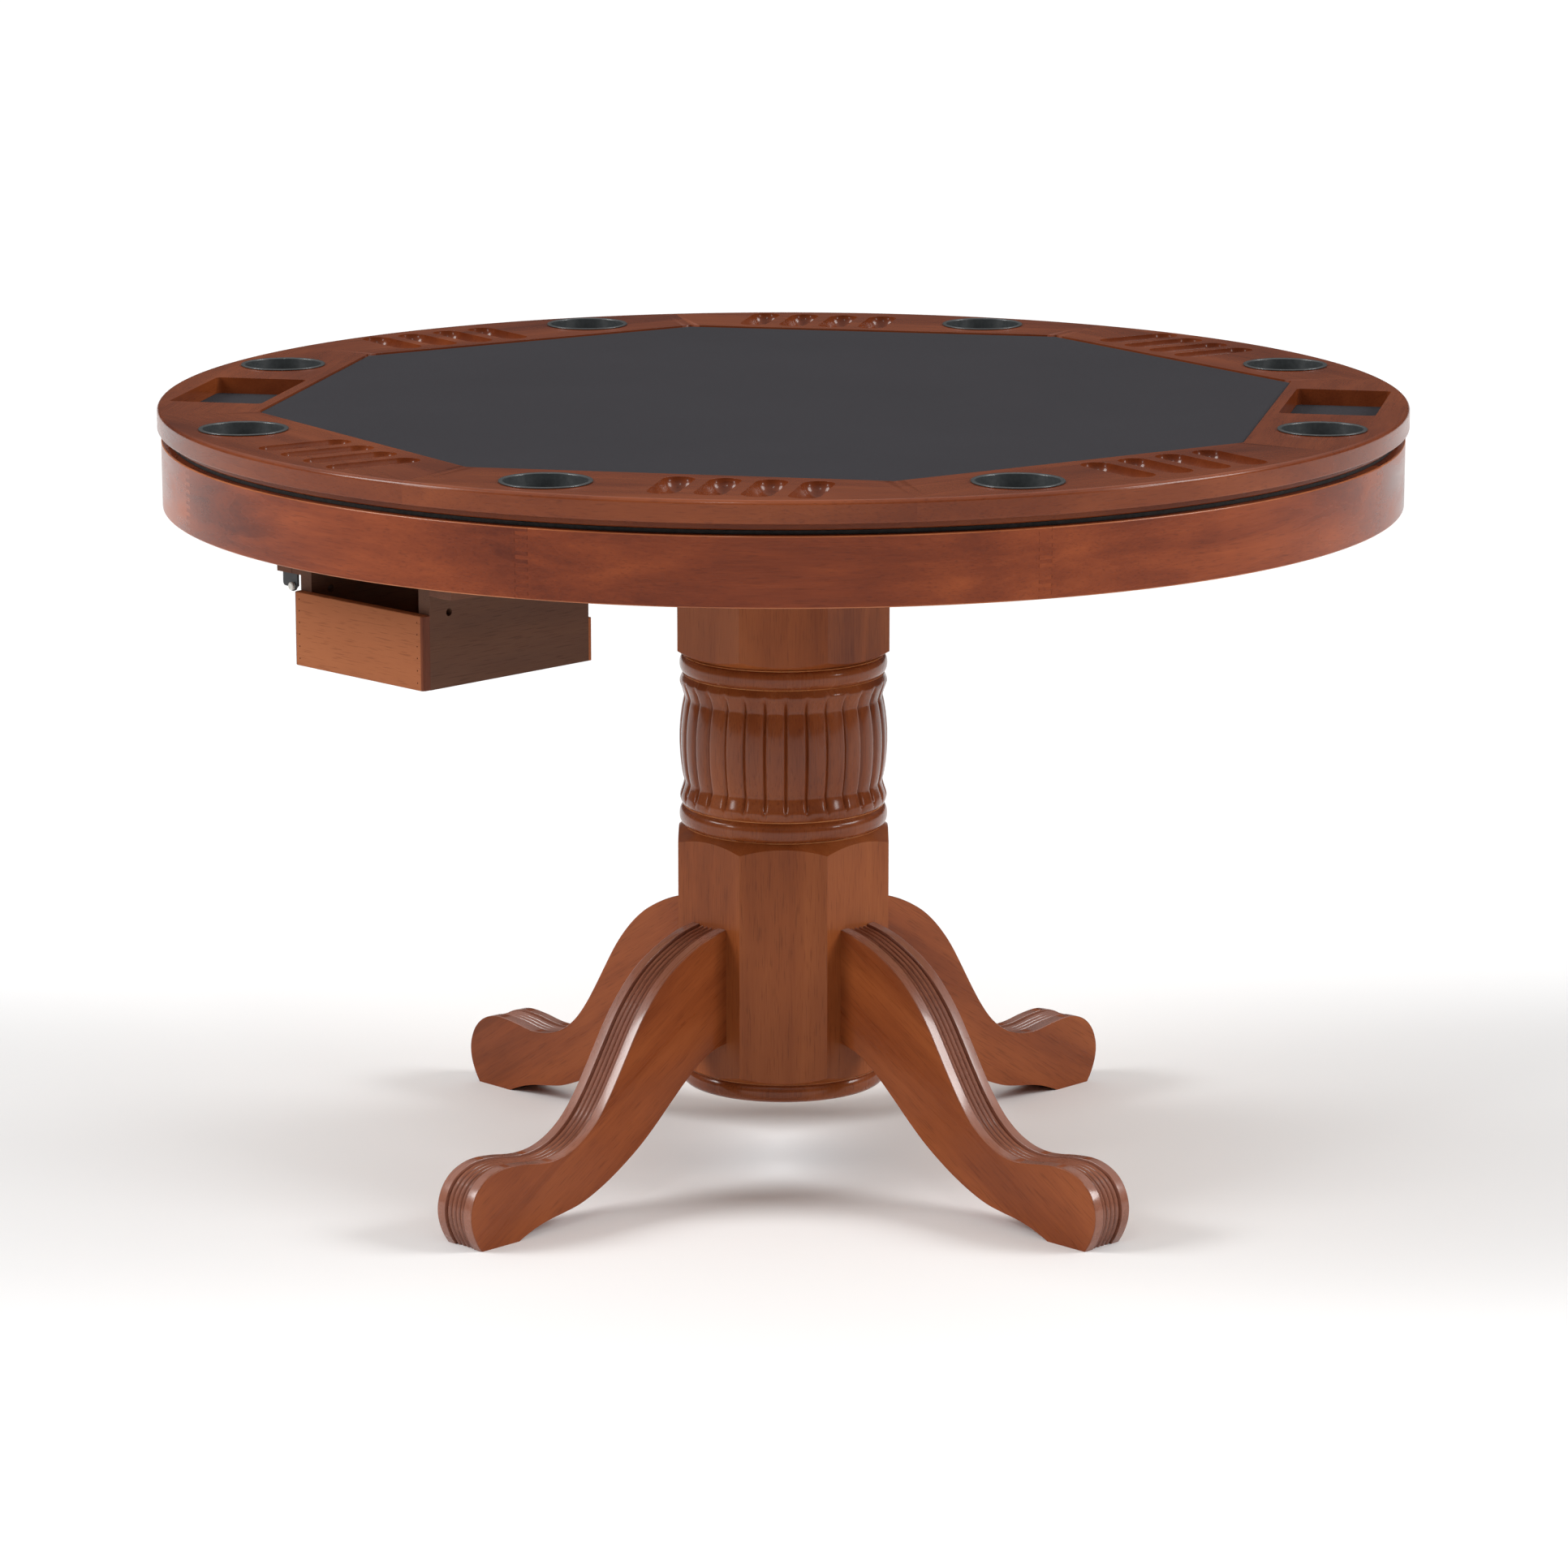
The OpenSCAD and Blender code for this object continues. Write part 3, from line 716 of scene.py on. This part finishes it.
def drum():
    """Turned drum with carved reeds between pointed V-grooves."""
    per = 16
    prof = [(368.0, 99.4), (369.2, 100.4), (371.5, 101.6), (374.0, 102.5), (376.5, 102.7), (379.0, 102.2),
            (382.0, 101.2), (385.0, 100.2), (388.0, 99.3), (390.8, 98.6), (392.6, 98.5), (395.0, 99.1),
            (400.0, 100.1), (408.0, 101.3), (418.0, 102.3), (430.0, 102.9), (442.0, 102.8), (452.0, 102.1),
            (460.0, 101.2), (467.0, 100.1), (472.0, 99.2), (475.4, 98.4), (477.2, 98.3), (479.6, 98.9),
            (483.0, 99.9), (486.0, 100.9), (488.8, 102.0), (491.0, 102.6), (493.0, 102.5), (495.0, 101.8),
            (497.5, 100.6), (500.0, 99.3)]
    zs, rs = zip(*prof)
    verts, faces = [], []
    n = REEDS * per

    def depth(z):
        """Groove depth: pointed at both ends, deepest over the bulge."""
        if z <= 372.5 or z >= 493.5:
            return 0.0
        e = min(z - 372.5, 493.5 - z)
        return 3.0 * min(1.0, e / 9.0) ** 0.8

    for z, r in prof:
        d = depth(z)
        swell = 0.9 if 393 < z < 476 else 0.35
        for i in range(n):
            u = (i % per) / per
            w = abs(u - 0.5) * 2
            g = math.exp(-((1 - w) / 0.16) ** 1.4)
            crown = swell * (1 - w * w) - swell * 0.5
            rr = r + (crown - 0.2) * min(1.0, d / 2.0) - d * g
            t = 2 * math.pi * i / n - math.radians(GROOVE_TURN)
            verts.append((rr * math.cos(t), rr * math.sin(t), z))
    for j in range(len(prof) - 1):
        for i in range(n):
            faces.append((j * n + i, j * n + (i + 1) % n, (j + 1) * n + (i + 1) % n, (j + 1) * n + i))
    lo = len(verts)
    verts.append((0, 0, prof[0][0]))
    verts.append((0, 0, prof[-1][0]))
    top = (len(prof) - 1) * n
    for i in range(n):
        faces.append((lo, (i + 1) % n, i))
        faces.append((lo + 1, top + i, top + (i + 1) % n))
    obj = mesh_piece("reeded_drum_carved", verts, faces, "base", M["turned"], angle=55)
    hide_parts("reeded_drum")


drum()

# ---------------------------------------------------------------- legs
LEG_TOP = [(103.85, 258.5), (118, 256), (131, 252.5), (145, 247.2), (160, 240), (176, 230.6), (190, 219.6),
           (202, 207.8), (213.5, 194.4), (224, 179.8), (236, 160.8), (249, 139.8), (263, 118.6), (277, 101),
           (290, 89), (305, 79.6), (322, 73.4), (340, 71.2), (357, 72.4), (376, 75.4), (398, 76.8),
           (414, 74), (428, 67), (438, 55.5), (443.3, 40), (442.6, 25), (437, 10), (430.5, 0)]
LEG_LOW = [(103.85, 143.4), (122, 139.4), (140, 130.4), (160, 115.4), (181, 97.2), (200.0, 80.2),
           (220, 64), (241, 49.8), (262, 37.6), (282, 28), (302, 20.6), (322, 16.6), (342, 13.4),
           (360, 8.9), (376, 2.8), (382, 0)]


def resample(pts, n):
    d = [0.0]
    for a, b in zip(pts, pts[1:]):
        d.append(d[-1] + math.dist(a, b))
    out, j = [], 0
    for i in range(n):
        s = d[-1] * i / (n - 1)
        while j < len(d) - 2 and d[j + 1] < s:
            j += 1
        t = (s - d[j]) / max(1e-9, d[j + 1] - d[j])
        out.append(tuple(pts[j][k] + (pts[j + 1][k] - pts[j][k]) * t for k in range(2)))
    return out


def leg_profile():
    """Height over the leg's top edge, across its width: two flat bands and four reeds."""
    half = LEG_HALF
    pts = [(-half, -1.4), (-half + 0.35, -0.5), (-half + 1.3, 0.0),
           (-13.4, 0.0), (-13.05, -0.5), (-12.6, -3.9)]
    for i in range(4):
        c = -12.1 + 6.05 * (i + 0.5)
        for a in (-2.72, -2.3, -1.5, 0.0, 1.5, 2.3, 2.72):
            pts.append((c + a, -1.1 - 2.6 * (abs(a) / 2.72) ** 2.2))
        if i < 3:
            pts.append((c + 3.025, -4.4))
    pts += [(12.6, -3.9), (13.05, -0.5), (13.4, 0.0), (half - 1.3, 0.0), (half - 0.35, -0.5), (half, -1.4)]
    return pts


def reed_width(obj, vertex, k):
    """How far a vertex lies from the middle plane of leg k, in millimetres."""
    a = math.radians(45 + 90 * (k - 1))
    x, y, _ = obj.data.vertices[vertex].co
    return (y * math.cos(a) - x * math.sin(a)) / MM


def leg(k):
    """One scroll leg: a reeded top edge swept along the outline, flat sides and a plain underside."""
    n = 132
    top = resample(spline(LEG_TOP, 8), n)
    low = resample(spline(LEG_LOW, 8), n)
    prof = leg_profile()
    m = len(prof)
    verts, faces = [], []
    for i in range(n):
        a = top[max(0, i - 1)]
        b = top[min(n - 1, i + 1)]
        tx, tz = b[0] - a[0], b[1] - a[1]
        ln = math.hypot(tx, tz)
        nx, nz = -tz / ln, tx / ln
        for w, h in prof:
            x, z = top[i][0] + nx * h, top[i][1] + nz * h
            if i == 0:
                x = COL_A
            if i == n - 1:
                x, z = top[i][0] + h, 0.0
            verts.append((x, w, z))
        verts.append((low[i][0] if i else COL_A, LEG_HALF, low[i][1]))
        verts.append((low[i][0] if i else COL_A, -LEG_HALF, low[i][1]))
    cols = m + 2
    for i in range(n - 1):
        for j in range(cols):
            a, b = i * cols + j, i * cols + (j + 1) % cols
            faces.append((a, b, b + cols, a + cols))
    faces.append(tuple(range(cols)))
    faces.append(tuple(range((n - 1) * cols, n * cols)))
    obj = mesh_piece("scroll_leg_%d" % k, verts, faces, "base", M["leg"],
                     rot=45 + 90 * (k - 1), angle=50)
    # the reeded top faces take the greyer copy of the leg wood: painted sheen
    obj.data.materials.append(M["leg_top"])
    for poly in obj.data.polygons:
        inside = all(abs(reed_width(obj, v, k)) < LEG_HALF - 0.2 for v in poly.vertices)
        if inside and abs(poly.normal.z) < 0.999:
            poly.material_index = 1
    even_normals(obj)
    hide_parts("leg_%d" % k)


for k in range(1, 5):
    leg(k)


# ---------------------------------------------------------------- box front
def box_front():
    """Front panel with softened edges, stained ends and a row of small sunken nail heads down each side."""
    x0, x1, half, z0, z1 = 538.0, 547.0, 90.0, 570.0, 639.5
    v, f = prism([(x0, -half), (x1 - 3.0, -half), (x1 - 1.0, -half + 1.0), (x1, -half + 3.0),
                  (x1, half - 3.0), (x1 - 1.0, half - 1.0), (x1 - 3.0, half), (x0, half)], z0, z1)
    panel = mesh_piece("box_front_panel", v, f, None, M["panel_face"], finish=False)
    dots = []
    for y in (-half + 7.5, half - 7.5):
        for z in (z0 + 7, z0 + 18.5, z0 + 30, z0 + 41, z0 + 52, z1 - 6.5):
            pv, pf = lathe([(0, x1 - 0.8), (0.65, x1 - 0.8), (0.75, x1 + 1), (0, x1 + 1)], 12, False)
            pv = [(pz, y + px, z + py) for px, py, pz in pv]
            dots.append(mesh_piece("cutter", pv, pf, None, None, finish=False))
    cut(panel, dots)
    panel.data.materials.clear()
    panel.data.materials.append(M["panel_face"])
    panel.data.materials.append(M["panel_end"])
    for poly in panel.data.polygons:
        c = poly.center / MM
        if abs(c.y) > half - 3.0 or (abs(poly.normal.x) < 0.9 and z0 + 1 < c.z < z1 - 1):
            poly.material_index = 1

    def keep(p, q):
        return abs(p.z - q.z) < 0.1 and min(abs(p.z - z0), abs(p.z - z1)) < 0.1
    soften(panel, keep, None, 0.7, 2)
    place(panel, 225, BOX_SHIFT)
    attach(panel, "drawer")
    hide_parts("box_front")


BOX_SHIFT = (-6 * math.sqrt(0.5), 6 * math.sqrt(0.5), 0)
box_front()


# ---------------------------------------------------------------- carried-over CAD nodes
CAD_LOOKS = {
    "column_upper_block": ("block", 1.2), "column_lower_block": ("block", 1.2),
    "playing_panel": ("board", 0), "deck": ("board", 0), "bearer_x": ("board", 1.0),
    "bearer_y": ("board", 1.0), "rest_ring": ("rubber", 0), "column_plate": ("steel", 0.5),
    "column_bolts": ("zinc", 0), "leg_bolts": ("zinc", 0), "cleat_left": ("cleat", 0.6),
    "cleat_right": ("cleat", 0.6), "slide_channel_left": ("steel", 0.2),
    "slide_channel_right": ("steel", 0.2), "slide_bracket": ("steel", 0.3), "nylon_button": ("nylon", 0),
    "box_back": ("box_back", 0.4), "box_side_left": ("box_dark", 0.5),
    "box_side_right": ("box_dark", 0.5), "box_bottom": ("box_dark", 0.3),
    "box_blocks": ("cleat", 0.4), "box_runners": ("zinc", 0.2),
    "box_roller_left": ("nylon", 0.3), "box_roller_right": ("nylon", 0.3),
}
for name, (mat, width) in CAD_LOOKS.items():
    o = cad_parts[name]
    o.data.materials.clear()
    o.data.materials.append(M[mat])
    if width:
        soften_cad(name, width)


# ---------------------------------------------------------------- room, light and camera
def area_light(name, loc, target, size, power, colour=(1, 1, 1), size_y=None):
    data = bpy.data.lights.new(name, "AREA")
    data.energy = power
    data.color = colour
    data.size = size
    if size_y:
        data.shape = "RECTANGLE"
        data.size_y = size_y
    o = bpy.data.objects.new(name, data)
    o.location = loc
    o.rotation_euler = (Vector(target) - Vector(loc)).to_track_quat("-Z", "Y").to_euler()
    bpy.context.scene.collection.objects.link(o)


def sun(name, azimuth, elevation, power, spread, colour=(1, 1, 1)):
    """Distant soft light; azimuth 0 shines from the camera's side, positive from the right."""
    data = bpy.data.lights.new(name, "SUN")
    data.energy = power
    data.angle = math.radians(spread)
    data.color = colour
    o = bpy.data.objects.new(name, data)
    a, e = math.radians(azimuth), math.radians(elevation)
    away = Vector((math.sin(a) * math.cos(e), -math.cos(a) * math.cos(e), math.sin(e)))
    o.rotation_euler = away.to_track_quat("Z", "Y").to_euler()
    bpy.context.scene.collection.objects.link(o)


HALF = 60000
floor = mesh_piece("floor", [(-HALF, -HALF, 0), (HALF, -HALF, 0), (HALF, HALF, 0), (-HALF, HALF, 0)],
                   [(0, 1, 2, 3)], None, None, finish=False)
floor_mat, nt, bsdf = new_material("floor_paper")
paper = node(nt, "ShaderNodeTexNoise", Scale=0.6, Detail=2.0)
tone = ramp(nt, [(0.3, (0.85, 0.85, 0.85, 1)), (0.7, (0.87, 0.87, 0.87, 1))])
nt.links.new(paper.outputs["Fac"], tone.inputs[0])
nt.links.new(tone.outputs[0], bsdf.inputs["Base Color"])
bsdf.inputs["Roughness"].default_value = 0.95
bsdf.inputs["Specular IOR Level"].default_value = 0.1
floor.data.materials.append(floor_mat)

bpy.context.scene.view_settings.view_transform = "Standard"
world = bpy.data.worlds.new("studio")
bpy.context.scene.world = world
world.use_nodes = True
wt = world.node_tree
sky = node(wt, "ShaderNodeTexCoord")
height = node(wt, "ShaderNodeSeparateXYZ")
wt.links.new(sky.outputs["Generated"], height.inputs[0])
glow = ramp(wt, [(0.0, (0.03, 0.03, 0.03, 1)), (0.32, (0.10, 0.10, 0.10, 1)), (0.75, (0.9, 0.9, 0.9, 1))])
wt.links.new(height.outputs["Z"], glow.inputs[0])
wt.links.new(glow.outputs[0], wt.nodes["Background"].inputs[0])
wt.nodes["Background"].inputs[1].default_value = 1.0
sun("sun_left", -84, 34, 1.85, 24)
sun("sun_right", 86, 32, 1.7, 24)
area_light("softbox_right", (3.0, -1.6, 1.5), (0, 0, 0.6), 0.45, 9)
area_light("softbox_left", (-3.0, -1.6, 1.5), (0, 0, 0.6), 0.45, 9)
area_light("softbox_top", (-0.5, -2.4, 2.8), (0, 0, 0.4), 0.3, 5)

cam_data = bpy.data.cameras.new("camera")
cam_data.sensor_width = 36.0
cam_data.lens = 130.43
cam_data.clip_end = 60
cam = bpy.data.objects.new("camera", cam_data)
cam.location = (0.0006, -5.5073, 1.6065)
cam.rotation_euler = (math.pi / 2 - 0.2182, 0, 0)
bpy.context.scene.collection.objects.link(cam)
bpy.context.scene.camera = cam
